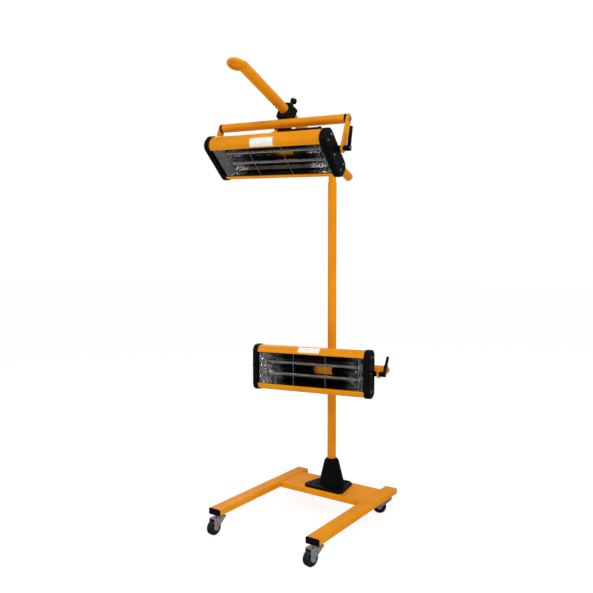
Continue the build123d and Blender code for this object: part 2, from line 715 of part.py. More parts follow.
def lamp_set(name, clamp, yoke_turn, bar_shift, tilt, lever_turn):
    """One lamp with its clamp block, yoke and levers.

    clamp is the frame of the block: its origin is on the clamped tube's axis, X runs across,
    Y runs away from the lamp and Z runs along the tube. yoke_turn is the yoke's turn about its
    bolt, bar_shift is how far the bar's middle lies from that bolt, tilt is the angle from the
    clamp's Z axis to the way the lamp faces and lever_turn is the tilt lever's angle back from
    upright.
    """
    yoke_way = (cos(radians(yoke_turn)), sin(radians(yoke_turn)), 0)
    bolt_frame = on(clamp, Plane(origin=(0, -arm_drop, bar_offset), x_dir=yoke_way, z_dir=(0, 0, 1)))
    bar_frame = on(bolt_frame, Plane(origin=(bar_shift, 0, 0), x_dir=(1, 0, 0), z_dir=(0, 0, 1)))
    across = bar_frame.x_dir
    along = Axis(bar_frame.origin, across)
    pivot = on(bar_frame, Plane(origin=(0, -leg_length, 0), x_dir=(1, 0, 0), z_dir=(0, 0, 1)))
    lean = tilt - 90
    rise = (pivot.z_dir * cos(radians(lean)) - pivot.y_dir * sin(radians(lean))).normalized()
    lamp = Plane(origin=pivot.origin, x_dir=across, z_dir=rise)
    world_up = Vector(0, 0, 1)
    upright = (world_up - across * world_up.dot(across)).normalized()
    lever_back = upright.cross(across)
    lever_way = upright * cos(radians(lever_turn)) + lever_back * sin(radians(lever_turn))
    section = Plane.YZ

    # Clamp block: one bore for the tube it grips and one, square to the bar, for the yoke's bolt
    with BuildPart() as block:
        with BuildSketch(clamp.offset(-block_depth / 2)):
            with Locations((0, (block_above - arm_drop - arm_tail) / 2)):
                Rectangle(block_width, block_above + arm_drop + arm_tail)
            fillet(vertices().group_by(Axis.Y)[-1], block_corner)
            with Locations((0, -arm_drop - arm_tail)):
                Circle(block_width / 2)
        extrude(amount=block_depth)
        across_ends = block.faces().sort_by(Axis(clamp.origin, clamp.z_dir))
        fillet(across_ends[0].edges() + across_ends[-1].edges(), block_edge)
        with BuildSketch(clamp.offset(block_depth / 2 - block_step)):
            with Locations((0, block_ledge - arm_drop - block_depth)):
                Rectangle(2 * block_width, 2 * block_depth)
        extrude(amount=block_step + overrun, mode=Mode.SUBTRACT)
        with BuildSketch(clamp.offset(-block_depth / 2)):
            Circle(boom_radius + fit_clearance)
            with Locations((0, -arm_drop)):
                Circle(yoke_bolt_diameter / 2 + fit_clearance)
        extrude(amount=block_depth, mode=Mode.SUBTRACT)
        with BuildSketch(on(clamp, Plane.XZ)):
            with Locations((0, -clamp_knob_set_back)):
                Circle(screw_bore)
        extrude(amount=-block_above - overrun, mode=Mode.SUBTRACT)
    keep(block, f"{name}_clamp_block")

    # Clamp knob: a rounded button on a screw that presses on the tube
    knob_seat = on(clamp, Plane(origin=(0, 0, -clamp_knob_set_back), x_dir=(1, 0, 0), z_dir=(0, 1, 0)))
    knob_start = block_above + clamp_knob_stand
    with BuildPart() as knob:
        with BuildSketch(knob_seat.offset(boom_radius + fit_clearance)):
            Circle(screw_diameter / 2)
        extrude(amount=knob_start - boom_radius - fit_clearance)
        with BuildSketch(knob_seat.offset(knob_start)):
            Circle(clamp_knob_diameter / 2)
        extrude(amount=clamp_knob_height)
        fillet(knob.faces().sort_by(Axis(clamp.origin, clamp.y_dir))[-1].edges(), clamp_knob_edge)
    keep(knob, f"{name}_clamp_knob")

    # Yoke bolt: its head behind the block, its end screwed into the bar
    bolt_plane = on(clamp, Plane(origin=(0, -arm_drop, 0), x_dir=(1, 0, 0), z_dir=(0, 0, 1)))
    bolt_back = block_depth / 2 + body_gap
    with BuildPart() as yoke_bolt:
        with BuildSketch(bolt_plane.offset(-bolt_back)):
            RegularPolygon(yoke_bolt_head / 2, 6)
        extrude(amount=-yoke_bolt_head_height)
        with BuildSketch(bolt_plane.offset(-bolt_back)):
            Circle(yoke_bolt_diameter / 2)
        extrude(amount=bolt_back + bar_offset)
    keep(yoke_bolt, f"{name}_yoke_bolt")

    # Yoke bar: a round tube with a cross hole for the bolt
    with BuildPart() as bar:
        with BuildSketch(on(bar_frame, section.offset(-bar_half_length))):
            Circle(bar_radius)
            Circle(bar_bore, mode=Mode.SUBTRACT)
        extrude(amount=2 * bar_half_length)
        with BuildSketch(bolt_frame):
            Circle(yoke_bolt_diameter / 2 + fit_clearance)
        extrude(amount=-bar_diameter, mode=Mode.SUBTRACT)
    keep(bar, f"{name}_yoke_bar")

    # Bar plugs: a flange at each end of the bar, bored for the leg's bolt
    with BuildPart() as bar_plugs:
        for way in (-1, 1):
            with BuildSketch(on(bar_frame, section.offset(way * bar_half_length))):
                Circle(bar_radius)
            extrude(amount=way * bar_plug_flange)
            with BuildSketch(on(bar_frame, section.offset(way * bar_half_length))):
                Circle(bar_bore - fit_clearance)
            extrude(amount=-way * bar_plug_depth)
            with BuildSketch(on(bar_frame, section.offset(way * bar_end))):
                Circle(screw_bore)
            extrude(amount=-way * (bar_plug_flange + bar_plug_depth), mode=Mode.SUBTRACT)
    keep(bar_plugs, f"{name}_bar_plugs")

    # Yoke legs: flat plates with round ends
    for way, side in ((-1, "left"), (1, "right")):
        with BuildPart() as leg:
            with BuildSketch(on(bar_frame, section.offset(way * leg_inside))):
                with Locations((-leg_length / 2, 0)):
                    SlotCenterToCenter(leg_length, leg_width)
                with Locations((0, 0), (-leg_length, 0)):
                    Circle(screw_bore, mode=Mode.SUBTRACT)
            extrude(amount=way * leg_thickness)
        keep(leg, f"{name}_leg_{side}")

    # Leg bolts: two into the bar and one into the left end cap
    with BuildPart() as leg_bolts:
        for way, place, depth in (
            (-1, bar_frame, bar_plug_flange + bar_plug_depth - clearance_end),
            (1, bar_frame, bar_plug_flange + bar_plug_depth - clearance_end),
            (-1, pivot, cap_boss_length + cap_thickness - clearance_end),
        ):
            with BuildSketch(on(place, section.offset(way * leg_outside))):
                Circle(pivot_head / 2)
            extrude(amount=way * pivot_head_height)
            with BuildSketch(on(place, section.offset(way * leg_outside))):
                Circle(screw_diameter / 2)
            extrude(amount=-way * (leg_thickness + body_gap + depth))
        ends = leg_bolts.faces().group_by(along)
        fillet(ends[0].edges() + ends[-1].edges(), pivot_head_height / 3)
    keep(leg_bolts, f"{name}_leg_bolts")

    lever(
        pivot,
        1,
        leg_outside + body_gap,
        body_gap + leg_thickness + body_gap + cap_boss_length + cap_thickness - clearance_end,
        screw_diameter / 2,
        f"{name}_tilt_lever",
        lever_way,
    )

    # Housing: a drawn shell, open along its face
    housing_plane = on(lamp, section.offset(-housing_half))
    with BuildPart() as housing:
        with BuildSketch(housing_plane):
            with Locations((section_centre, 0)):
                RectangleRounded(housing_depth, housing_height, housing_corner)
                RectangleRounded(
                    housing_depth - 2 * housing_wall,
                    housing_height - 2 * housing_wall,
                    housing_corner - housing_wall,
                    mode=Mode.SUBTRACT,
                )
            with Locations((-face_reach, 0)):
                Rectangle(3 * housing_wall, opening_height, mode=Mode.SUBTRACT)
        extrude(amount=housing_length)
    keep(housing, f"{name}_housing")

    # End caps: moulded ends with a pivot boss and a rim that enters the housing
    for way, side in ((-1, "left"), (1, "right")):
        end_axis = Axis(lamp.origin, across * way)
        with BuildPart() as cap:
            with BuildSketch(on(lamp, section.offset(way * housing_half))):
                with Locations((section_centre, 0)):
                    RectangleRounded(
                        housing_depth + 2 * cap_overlap,
                        housing_height + 2 * cap_overlap,
                        housing_corner + cap_overlap,
                    )
            extrude(amount=way * cap_thickness)
            fillet(cap.faces().sort_by(end_axis)[-1].edges(), cap_edge)
            with BuildSketch(on(lamp, section.offset(way * cap_outside))):
                Circle(cap_boss_diameter / 2)
            extrude(amount=way * cap_boss_length)
            rim_depth = housing_depth - 2 * housing_wall - 2 * cap_clearance
            rim_height = housing_height - 2 * housing_wall - 2 * cap_clearance
            rim_corner = housing_corner - housing_wall - cap_clearance
            with BuildSketch(on(lamp, section.offset(way * housing_half))):
                with Locations((section_centre, 0)):
                    RectangleRounded(rim_depth, rim_height, rim_corner)
                    RectangleRounded(
                        rim_depth - 2 * cap_register_wall,
                        rim_height - 2 * cap_register_wall,
                        rim_corner - cap_register_wall,
                        mode=Mode.SUBTRACT,
                    )
                with Locations((-face_reach, 0)):
                    Rectangle(housing_depth, opening_height + cap_clearance, mode=Mode.SUBTRACT)
            extrude(amount=-way * cap_register)
            with BuildSketch(on(lamp, section.offset(way * bar_end))):
                Circle(screw_bore)
            extrude(amount=-way * (cap_boss_length + cap_thickness), mode=Mode.SUBTRACT)
            with BuildSketch(on(lamp, section.offset(way * cap_outside))):
                with Locations(*screw_places()):
                    Circle(cap_screw_diameter / 2)
            extrude(amount=-way * cap_screw_depth, mode=Mode.SUBTRACT)
        keep(cap, f"{name}_cap_{side}")

    with BuildPart() as cap_screws:
        for way in (-1, 1):
            with BuildSketch(on(lamp, section.offset(way * cap_outside))):
                with Locations(*screw_places()):
                    Circle(cap_screw_head / 2)
            extrude(amount=way * cap_screw_head_height)
            with BuildSketch(on(lamp, section.offset(way * cap_outside))):
                with Locations(*screw_places()):
                    Circle(cap_screw_diameter / 2)
            extrude(amount=-way * cap_screw_depth)
        ends = cap_screws.faces().group_by(along)
        fillet(ends[0].edges() + ends[-1].edges(), cap_screw_head_height / 2)
    keep(cap_screws, f"{name}_cap_screws")

    # Reflector: a bright sheet folded into two troughs, with a sloping sheet at each end
    front = reflector_inset - face_reach
    trough_half = housing_half - reflector_end_gap
    tube_place = tube_set_back - face_reach
    trough = [(front + d * reflector_depth, h * reflector_half_height) for d, h in trough_shares]
    outline = trough + [(y, -z) for y, z in reversed(trough[:-1])]
    with BuildPart() as reflector:
        with BuildSketch(on(lamp, section.offset(-trough_half))):
            with BuildLine():
                Polyline(*outline)
                offset(amount=sheet_thickness, side=Side.LEFT)
            make_face()
        extrude(amount=2 * trough_half)
        for way in (-1, 1):
            run = (reflector_depth**2 + end_sheet_rake**2) ** 0.5
            fold = Vector(-way * end_sheet_rake, reflector_depth, 0) / run
            corner = Vector(way * (trough_half - reflector_play), front, 0)
            sheet = on(lamp, Plane(origin=corner, x_dir=fold, z_dir=fold.cross(Vector(0, 0, 1))))
            reach = [(d * run * end_sheet_share, h * end_sheet_share) for d, h in trough_shares]
            half = [(s, h * reflector_half_height) for s, h in reach]
            with BuildSketch(sheet) as end_outline:
                with BuildLine():
                    Polyline(*half, *[(s, -h) for s, h in reversed(half[:-1])], close=True)
                make_face()
            extrude(amount=-sheet_thickness)
        with BuildSketch(on(lamp, section.offset(-tube_half_length))):
            with Locations((tube_place, tube_pitch / 2), (tube_place, -tube_pitch / 2)):
                Circle(tube_diameter / 2 + tube_hole_play)
        extrude(amount=2 * tube_half_length, mode=Mode.SUBTRACT)
        for way in (-1, 1):
            with BuildSketch(on(lamp, section.offset(way * (tube_half_length - overrun)))):
                with Locations((tube_place, tube_pitch / 2), (tube_place, -tube_pitch / 2)):
                    Rectangle(holder_width + 2 * overrun, holder_height + 2 * overrun)
            extrude(amount=way * trough_half, mode=Mode.SUBTRACT)
        with BuildSketch(on(lamp, Plane.XZ)):
            with Locations((window_offset, 0)):
                Rectangle(window_length, window_height)
        extrude(amount=face_reach, mode=Mode.SUBTRACT)
    keep(reflector, f"{name}_reflector")

    # Quartz tubes and their ceramic holders
    with BuildPart() as tubes:
        with BuildSketch(on(lamp, section.offset(-tube_half_length))):
            with Locations((tube_place, tube_pitch / 2), (tube_place, -tube_pitch / 2)):
                Circle(tube_diameter / 2)
        extrude(amount=2 * tube_half_length)
    keep(tubes, f"{name}_quartz_tubes")

    with BuildPart() as holders:
        for way in (-1, 1):
            with BuildSketch(on(lamp, section.offset(way * tube_half_length))):
                with Locations((tube_place, tube_pitch / 2), (tube_place, -tube_pitch / 2)):
                    RectangleRounded(holder_width, holder_height, holder_width / 4)
            extrude(amount=way * (housing_half - tube_half_length))
    keep(holders, f"{name}_tube_holders")

    # Guard: upright wires in a row, their ends hooked back behind the lips of the opening
    wire_y = housing_wall + guard_wire / 2 + guard_clearance - face_reach
    hook_y = wire_y + guard_hook
    guard_half = opening_height / 2 + guard_lap
    wire_pitch = 2 * guard_half_length / (guard_wires - 1)
    with BuildPart() as guard:
        for i in range(guard_wires):
            wire_x = wire_pitch * i - guard_half_length
            bends = [
                lamp.from_local_coords(Vector(wire_x, y, z))
                for y, z in (
                    (hook_y, -guard_half),
                    (wire_y, -guard_half),
                    (wire_y, guard_half),
                    (hook_y, guard_half),
                )
            ]
            with BuildLine():
                route = FilletPolyline(*bends, radius=guard_bend)
            with BuildSketch(Plane(origin=route @ 0, z_dir=route % 0)):
                Circle(guard_wire / 2)
            sweep(path=route)
    keep(guard, f"{name}_guard")

    # Terminal box on the back, with a sloping end and a gland for the cable
    with BuildPart() as terminal_box:
        with BuildSketch(on(lamp, Plane.XY.offset(box_low))):
            with BuildLine():
                Polyline(
                    (box_left, housing_rear),
                    (box_left + box_slope, housing_rear + box_depth),
                    (box_right, housing_rear + box_depth),
                    (box_right, housing_rear),
                    close=True,
                )
            make_face()
        extrude(amount=box_high - box_low)
        fillet(terminal_box.faces().sort_by(Axis(lamp.origin, lamp.y_dir))[-1].edges(), box_edge)
        gland = on(
            lamp,
            Plane(
                origin=(box_right - gland_inset, housing_rear + box_depth, (box_low + box_high) / 2),
                x_dir=(1, 0, 0),
                z_dir=(0, 1, 0),
            ),
        )
        with BuildSketch(gland):
            Circle(gland_diameter / 2)
        extrude(amount=gland_length)
        fillet(terminal_box.faces().sort_by(Axis(lamp.origin, lamp.y_dir))[-1].edges(), box_edge / 2)
        with BuildSketch(gland.offset(gland_length)):
            Circle(gland_bore / 2)
        extrude(amount=-gland_length, mode=Mode.SUBTRACT)
    keep(terminal_box, f"{name}_terminal_box")


def screw_places():
    """Where the end caps' screws stand, in the section's own plane."""
    return [
        (section_centre + d * housing_depth, h * housing_height) for d, h in cap_screw_shares
    ]


# The lower lamp's block grips the column with its bore upright
lower_clamp = turned(lower_turn, lower_lamp_height - bar_offset)
lamp_set("lower", lower_clamp, lower_yoke_turn, lower_bar_shift, lower_tilt, lower_lever_turn)

# The upper lamp's block grips the boom and leans with the roll
roll = radians(boom_roll)
upper_across = boom_frame.x_dir * cos(roll) + boom_frame.y_dir * sin(roll)
upper_clamp = Plane(
    origin=boom_pivot + boom_ahead * upper_block_reach,
    x_dir=upper_across,
    z_dir=boom_ahead,
)
lamp_set("upper", upper_clamp, upper_yoke_turn, upper_bar_shift, upper_tilt, upper_lever_turn)
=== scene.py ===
import json
import math

import bpy
import numpy as np
from mathutils import Matrix, Vector


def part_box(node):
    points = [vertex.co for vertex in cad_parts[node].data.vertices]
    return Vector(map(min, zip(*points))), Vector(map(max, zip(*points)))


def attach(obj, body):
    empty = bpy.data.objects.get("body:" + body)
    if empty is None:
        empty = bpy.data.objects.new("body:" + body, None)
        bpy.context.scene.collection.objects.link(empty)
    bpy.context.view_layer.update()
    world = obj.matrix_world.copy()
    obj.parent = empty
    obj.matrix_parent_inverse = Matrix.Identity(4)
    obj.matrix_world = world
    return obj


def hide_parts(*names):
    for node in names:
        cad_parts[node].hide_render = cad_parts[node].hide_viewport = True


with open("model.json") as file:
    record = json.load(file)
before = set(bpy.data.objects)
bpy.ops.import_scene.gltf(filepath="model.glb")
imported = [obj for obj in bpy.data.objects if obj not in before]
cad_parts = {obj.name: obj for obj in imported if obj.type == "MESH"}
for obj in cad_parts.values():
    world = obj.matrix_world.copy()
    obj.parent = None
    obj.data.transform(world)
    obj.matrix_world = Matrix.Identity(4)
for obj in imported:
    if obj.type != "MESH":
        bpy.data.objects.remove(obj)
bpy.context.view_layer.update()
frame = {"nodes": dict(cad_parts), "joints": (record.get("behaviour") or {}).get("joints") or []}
nodes = frame["nodes"]
joints = {j["name"]: j for j in frame["joints"]}
MM = 0.001

# Scales of the patterns in features per metre, with the size of one feature
MOTTLE = 9.0  # 110 mm, slow change of tone over a coated panel
STAIN = 14.0  # 70 mm, heat stains on the reflector
BLOOM = 22.0  # 45 mm, dusty bloom on plastic
WAVES = 30.0  # 33 mm, slack waves of thin sheet
GRIME = 38.0  # 26 mm, grime on powder coat
RUBS = 55.0  # 18 mm, places rubbed smoother
WIPES = 60.0  # 17 mm, wiped and dusty places on the boxes and labels
SMEARS = 70.0  # 14 mm, duller smears on plastic and scorched places on ceramic
TARNISH = 90.0  # 11 mm, dull patches of zinc
CREASES = 115.0  # 9 mm, crumpled facets near the reflector's ends
DUST = 120.0  # 8 mm, floor dust in the tread
HANDLING = 140.0  # 7 mm, smoother and rougher places on zinc
SCUFFS = 160.0  # 6 mm, pale scuffs on plastic
WRINKLES = 180.0  # 6 mm, wrinkles in a label
RIPPLES = 260.0  # 4 mm, ripples in quartz
FLAKES = 400.0  # 2.5 mm, scale on the heating wire
PEEL = 620.0  # 1.6 mm, orange peel of powder coat
TREAD = 900.0  # 1.1 mm, texture of the tread
BOX_GRAIN = 1100.0  # 0.9 mm, grain of the terminal box, drawn coarser than it is
CERAMIC_GRAIN = 1400.0  # 0.7 mm, grit of the ceramic, drawn coarser than it is
MOULD_GRAIN = 1500.0  # 0.7 mm, spark-eroded grain, drawn coarser than it is so that it shows
DRAWING_LINES = 1800.0  # 0.6 mm, marks of the press tool, drawn coarser than they are
SPECKS = 1900.0  # 0.5 mm, dark specks in the ceramic
PITS = 2600.0  # 0.4 mm, pinholes between the peel's lumps, drawn coarser than they are
DIE_MARKS = 3000.0  # 0.3 mm, marks of the drawing die on the heating wire

# How strongly the coats and the plastics mirror what is round them
COAT_GLOSS = 0.12
PLASTIC_GLOSS = 0.1
QUARTZ_IOR = 1.46

# Patterns drawn out along a lamp: their scale, and how it is stretched along and across the lamp
ROLLING, ROLLING_STRETCH = 4.0, (3.0, 160.0, 160.0)
HAZE, HAZE_STRETCH = 3.0, (12.0, 60.0, 60.0)

# A Mix node that blends colours: how it is set, and the places of its two colour sockets
BLEND = {"out": 2, "data_type": "RGBA"}
FIRST, SECOND = 6, 7


# Colour and shader helpers
def linear(text):
    """Turn an sRGB hex colour into the linear RGBA that the shaders take."""
    parts = [int(text[i : i + 2], 16) / 255 for i in (1, 3, 5)]
    return (*[p / 12.92 if p <= 0.04045 else ((p + 0.055) / 1.055) ** 2.4 for p in parts], 1.0)


def add(tree, kind, sockets=None, out=0, **settings):
    """Add a shader node, set its settings, set or link its inputs, and return one output."""
    node = tree.nodes.new("ShaderNode" + kind)
    for key, value in settings.items():
        setattr(node, key, value)
    for key, value in (sockets or {}).items():
        if isinstance(value, bpy.types.NodeSocket):
            tree.links.new(value, node.inputs[key])
        else:
            node.inputs[key].default_value = value
    return node.outputs[out] if node.outputs else node


def new_material(name):
    """An empty material and its node tree."""
    material = bpy.data.materials.new(name)
    material.use_nodes = True
    material.node_tree.nodes.clear()
    return material, material.node_tree


def limits(low, high, to_low, to_high):
    """The four sockets that stretch one range of a pattern over another."""
    return {"From Min": low, "From Max": high, "To Min": to_low, "To Max": to_high}


def patches(tree, where, scale, detail, stretch, rough=0.5):
    """Uneven patches: a cloudy pattern with a scale per metre, stretched between two levels."""
    sockets = {"Vector": where, "Scale": scale, "Detail": detail, "Roughness": rough}
    return add(tree, "MapRange", {"Value": add(tree, "TexNoise", sockets), **limits(*stretch)})


def roughened(tree, where, scale, detail, depth, strength, rough=0.5):
    """A surface normal unsettled by cloudy relief, its depth in metres."""
    sockets = {"Vector": where, "Scale": scale, "Detail": detail, "Roughness": rough}
    relief = add(tree, "TexNoise", sockets)
    return add(tree, "Bump", {"Height": relief, "Distance": depth, "Strength": strength})


# Finishes
def powder_coat(name, colour, deep, rough=0.34):
    """Powder coat baked on steel: an even, slightly lumpy satin, mottled and with some grime."""
    material, tree = new_material(name)
    where = add(tree, "TexCoord", out="Object")
    mottle = patches(tree, where, MOTTLE, 4.0, (0.35, 0.7, 0.0, 0.35))
    colours = {"Factor": mottle, FIRST: linear(colour), SECOND: linear(deep)}
    base = add(tree, "Mix", colours, **BLEND)
    grime = patches(tree, where, GRIME, 6.0, (0.62, 0.78, 0.0, 0.3), 0.65)
    peel = add(tree, "TexNoise", {"Vector": where, "Scale": PEEL, "Detail": 2.0, "Roughness": 0.5})
    pits = patches(tree, where, PITS, 1.0, (0.6, 0.8, 0.0, -0.6))
    height = add(tree, "Math", {0: peel, 1: pits}, operation="ADD")
    colours = {"Factor": grime, FIRST: base, SECOND: linear(deep)}
    sockets = {
        "Base Color": add(tree, "Mix", colours, **BLEND),
        "Roughness": patches(tree, where, RUBS, 5.0, (0.3, 0.7, rough - 0.06, rough + 0.1)),
        "Specular IOR Level": COAT_GLOSS,
        "Normal": add(tree, "Bump", {"Height": height, "Distance": 0.04 * MM, "Strength": 0.55}),
        "Coat Weight": COAT_GLOSS / 3,
        "Coat Roughness": 0.14,
    }
    add(tree, "OutputMaterial", {"Surface": add(tree, "BsdfPrincipled", sockets)})
    return material


def moulded(name, colour, worn, rough=0.42, grain=MOULD_GRAIN):
    """Injection-moulded plastic: a dull, finely grained skin with pale scuffs and a dusty bloom."""
    material, tree = new_material(name)
    where = add(tree, "TexCoord", out="Object")
    bloom = patches(tree, where, BLOOM, 5.0, (0.42, 0.75, 0.0, 0.55), 0.6)
    base = add(tree, "Mix", {"Factor": bloom, FIRST: linear(colour), SECOND: linear(worn)}, **BLEND)
    scuffs = patches(tree, where, SCUFFS, 6.0, (0.66, 0.76, 0.0, 0.35), 0.7)
    colours = {"Factor": scuffs, FIRST: base, SECOND: linear(worn)}
    sockets = {
        "Base Color": add(tree, "Mix", colours, **BLEND),
        "Roughness": patches(tree, where, SMEARS, 4.0, (0.3, 0.7, rough - 0.07, rough + 0.1)),
        "Specular IOR Level": PLASTIC_GLOSS,
        "Normal": roughened(tree, where, grain, 3.0, 0.05 * MM, 0.5, 0.6),
    }
    add(tree, "OutputMaterial", {"Surface": add(tree, "BsdfPrincipled", sockets)})
    return material


def plated(name, colour, dark, rough, spangle, metallic=1.0):
    """Zinc-plated steel: crystals of differing tone, faint drawing lines and dull patches."""
    material, tree = new_material(name)
    where = add(tree, "TexCoord", out="Object")
    crystals = add(tree, "TexVoronoi", {"Vector": where, "Scale": spangle}, "Color")
    tone = add(tree, "SeparateColor", {"Color": crystals})
    tone = add(tree, "Math", {0: tone, 1: 0.3}, operation="MULTIPLY")
    base = add(tree, "Mix", {"Factor": tone, FIRST: linear(colour), SECOND: linear(dark)}, **BLEND)
    dull = patches(tree, where, TARNISH, 5.0, (0.45, 0.75, 0.0, 0.6), 0.6)
    colours = {"Factor": dull, FIRST: base, SECOND: linear(dark)}
    sockets = {
        "Base Color": add(tree, "Mix", colours, **BLEND),
        "Metallic": metallic,
        "Roughness": patches(tree, where, HANDLING, 4.0, (0.3, 0.7, rough - 0.08, rough + 0.14)),
        "Normal": roughened(tree, where, DRAWING_LINES, 2.0, 0.02 * MM, 0.4),
    }
    add(tree, "OutputMaterial", {"Surface": add(tree, "BsdfPrincipled", sockets)})
    return material


def local_coordinates(tree, matrix):
    """The object's coordinates seen from a lamp's own frame, in metres."""
    turn = matrix.to_euler()
    sockets = {
        "Vector": add(tree, "TexCoord", out="Object"),
        "Location": matrix.to_translation(),
        "Rotation": (turn.x, turn.y, turn.z),
    }
    return add(tree, "Mapping", sockets, vector_type="TEXTURE")


CRUMPLE_START, CRUMPLE_FULL = 85 * MM, 15 * MM  # from the reflector's ends


def bright_sheet(name, matrix, half_length):
    """Polished stainless sheet whose dark colour is painted reflection: heat-stained, streaked
    lengthways, paler and crumpled at its ends.
    """
    material, tree = new_material(name)
    where = local_coordinates(tree, matrix)
    drawn_out = add(tree, "Mapping", {"Vector": where, "Scale": ROLLING_STRETCH})
    sockets = {"Vector": drawn_out, "Scale": ROLLING, "Detail": 5.0, "Roughness": 0.6}
    rolled = add(tree, "TexNoise", sockets)
    stain = patches(tree, where, STAIN, 4.0, (0.4, 0.7, 0.0, 0.7))
    # Painted reflection: these dark tones stand in for the dim room that the polished steel
    # mirrors; the heat stains and the lengthways streaks vary them
    colours = {"Factor": stain, FIRST: linear("#3A352E"), SECOND: linear("#27221C")}
    base = add(tree, "Mix", colours, **BLEND)
    streaks = add(tree, "MapRange", {"Value": rolled, **limits(0.35, 0.65, 0.0, 0.5)})
    base = add(tree, "Mix", {"Factor": streaks, FIRST: base, SECOND: linear("#1C1D1F")}, **BLEND)
    along = add(tree, "SeparateXYZ", {"Vector": where})
    along = add(tree, "Math", {0: along}, operation="ABSOLUTE")
    reach = limits(half_length - CRUMPLE_START, half_length - CRUMPLE_FULL, 0.0, 1.0)
    near_end = add(tree, "MapRange", {"Value": along, **reach})
    facets = add(tree, "TexVoronoi", {"Vector": where, "Scale": CREASES}, feature="SMOOTH_F1")
    creases = add(tree, "Math", {0: facets, 1: near_end}, operation="MULTIPLY")
    sockets = {"Vector": where, "Scale": WAVES, "Detail": 3.0, "Roughness": 0.5}
    waves = add(tree, "TexNoise", sockets)
    waves = add(tree, "Math", {0: waves, 1: 0.35}, operation="MULTIPLY")
    height = add(tree, "Math", {0: creases, 1: waves}, operation="ADD")
    crumpled = add(tree, "Bump", {"Height": height, "Distance": 6 * MM, "Strength": 0.9})
    streaked = {"Height": rolled, "Distance": 0.12 * MM, "Strength": 0.5, "Normal": crumpled}
    colours = {"Factor": near_end, FIRST: base, SECOND: linear("#C4C6C8")}
    sockets = {
        "Base Color": add(tree, "Mix", colours, **BLEND),
        "Metallic": 1.0,
        "Roughness": add(tree, "MapRange", {"Value": rolled, **limits(0.3, 0.7, 0.1, 0.24)}),
        "Normal": add(tree, "Bump", streaked),
    }
    add(tree, "OutputMaterial", {"Surface": add(tree, "BsdfPrincipled", sockets)})
    return material


def box_finish(name, matrix, seam):
    """Terminal box: an orange powder-coated end, then a black moulded lid past the seam."""
    material, tree = new_material(name)
    where = local_coordinates(tree, matrix)
    along = add(tree, "SeparateXYZ", {"Vector": where})
    edge = limits(seam - SEAM_HALF, seam + SEAM_HALF, 0.0, 1.0)
    lid = add(tree, "MapRange", {"Value": along, **edge})
    mottle = patches(tree, where, MOTTLE, 4.0, (0.35, 0.7, 0.0, 0.35))
    bloom = patches(tree, where, BLOOM, 5.0, (0.42, 0.75, 0.0, 0.55), 0.6)
    colours = {"Factor": mottle, FIRST: linear(ORANGE), SECOND: linear(DEEP_ORANGE)}
    coat = add(tree, "Mix", colours, **BLEND)
    colours = {"Factor": bloom, FIRST: linear(BLACK), SECOND: linear(WORN_BLACK)}
    nylon = add(tree, "Mix", colours, **BLEND)
    colours = {"Factor": lid, FIRST: coat, SECOND: nylon}
    sockets = {
        "Base Color": add(tree, "Mix", colours, **BLEND),
        "Roughness": patches(tree, where, WIPES, 4.0, (0.3, 0.7, 0.34, 0.5)),
        "Specular IOR Level": COAT_GLOSS,
        "Normal": roughened(tree, where, BOX_GRAIN, 3.0, 0.05 * MM, 0.5, 0.6),
    }
    add(tree, "OutputMaterial", {"Surface": add(tree, "BsdfPrincipled", sockets)})
    return material


def quartz(name, matrix):
    """Clear fused quartz: glassy, a little milky along the tube, with a faint warm tint."""
    material, tree = new_material(name)
    where = local_coordinates(tree, matrix)
    drawn_out = add(tree, "Mapping", {"Vector": where, "Scale": HAZE_STRETCH})
    haze = patches(tree, drawn_out, HAZE, 4.0, (0.35, 0.7, 0.0, 1.0))
    colours = {"Factor": haze, FIRST: linear("#D8D6D2"), SECOND: linear("#B4B0AA")}
    sockets = {
        "Base Color": add(tree, "Mix", colours, **BLEND),
        "Roughness": add(tree, "MapRange", {"Value": haze, **limits(0.0, 1.0, 0.04, 0.2)}),
        "IOR": QUARTZ_IOR,
        "Transmission Weight": 0.86,
        "Normal": roughened(tree, where, RIPPLES, 2.0, 0.05 * MM, 0.3),
    }
    add(tree, "OutputMaterial", {"Surface": add(tree, "BsdfPrincipled", sockets)})
    return material


def ceramic(name):
    """Unglazed steatite: chalky, speckled and slightly scorched."""
    material, tree = new_material(name)
    where = add(tree, "TexCoord", out="Object")
    specks = patches(tree, where, SPECKS, 2.0, (0.6, 0.75, 0.0, 0.5))
    colours = {"Factor": specks, FIRST: linear("#8E8880"), SECOND: linear("#6C6358")}
    base = add(tree, "Mix", colours, **BLEND)
    scorch = patches(tree, where, SMEARS, 4.0, (0.5, 0.75, 0.0, 0.6))
    colours = {"Factor": scorch, FIRST: base, SECOND: linear("#4A3D31")}
    sockets = {
        "Base Color": add(tree, "Mix", colours, **BLEND),
        "Roughness": add(tree, "MapRange", {"Value": scorch, **limits(0.0, 0.6, 0.7, 0.86)}),
        "Normal": roughened(tree, where, CERAMIC_GRAIN, 3.0, 0.06 * MM, 0.6),
    }
    add(tree, "OutputMaterial", {"Surface": add(tree, "BsdfPrincipled", sockets)})
    return material


def tyre_rubber(name):
    """Thermoplastic rubber: matt and nearly black, with floor dust rubbed into it."""
    material, tree = new_material(name)
    where = add(tree, "TexCoord", out="Object")
    dust = patches(tree, where, DUST, 6.0, (0.5, 0.72, 0.0, 0.5), 0.7)
    colours = {"Factor": dust, FIRST: linear("#0C0D0E"), SECOND: linear("#2E2C2A")}
    sockets = {
        "Base Color": add(tree, "Mix", colours, **BLEND),
        "Roughness": add(tree, "MapRange", {"Value": dust, **limits(0.0, 0.5, 0.5, 0.78)}),
        "Normal": roughened(tree, where, TREAD, 4.0, 0.12 * MM, 0.6, 0.6),
    }
    add(tree, "OutputMaterial", {"Surface": add(tree, "BsdfPrincipled", sockets)})
    return material


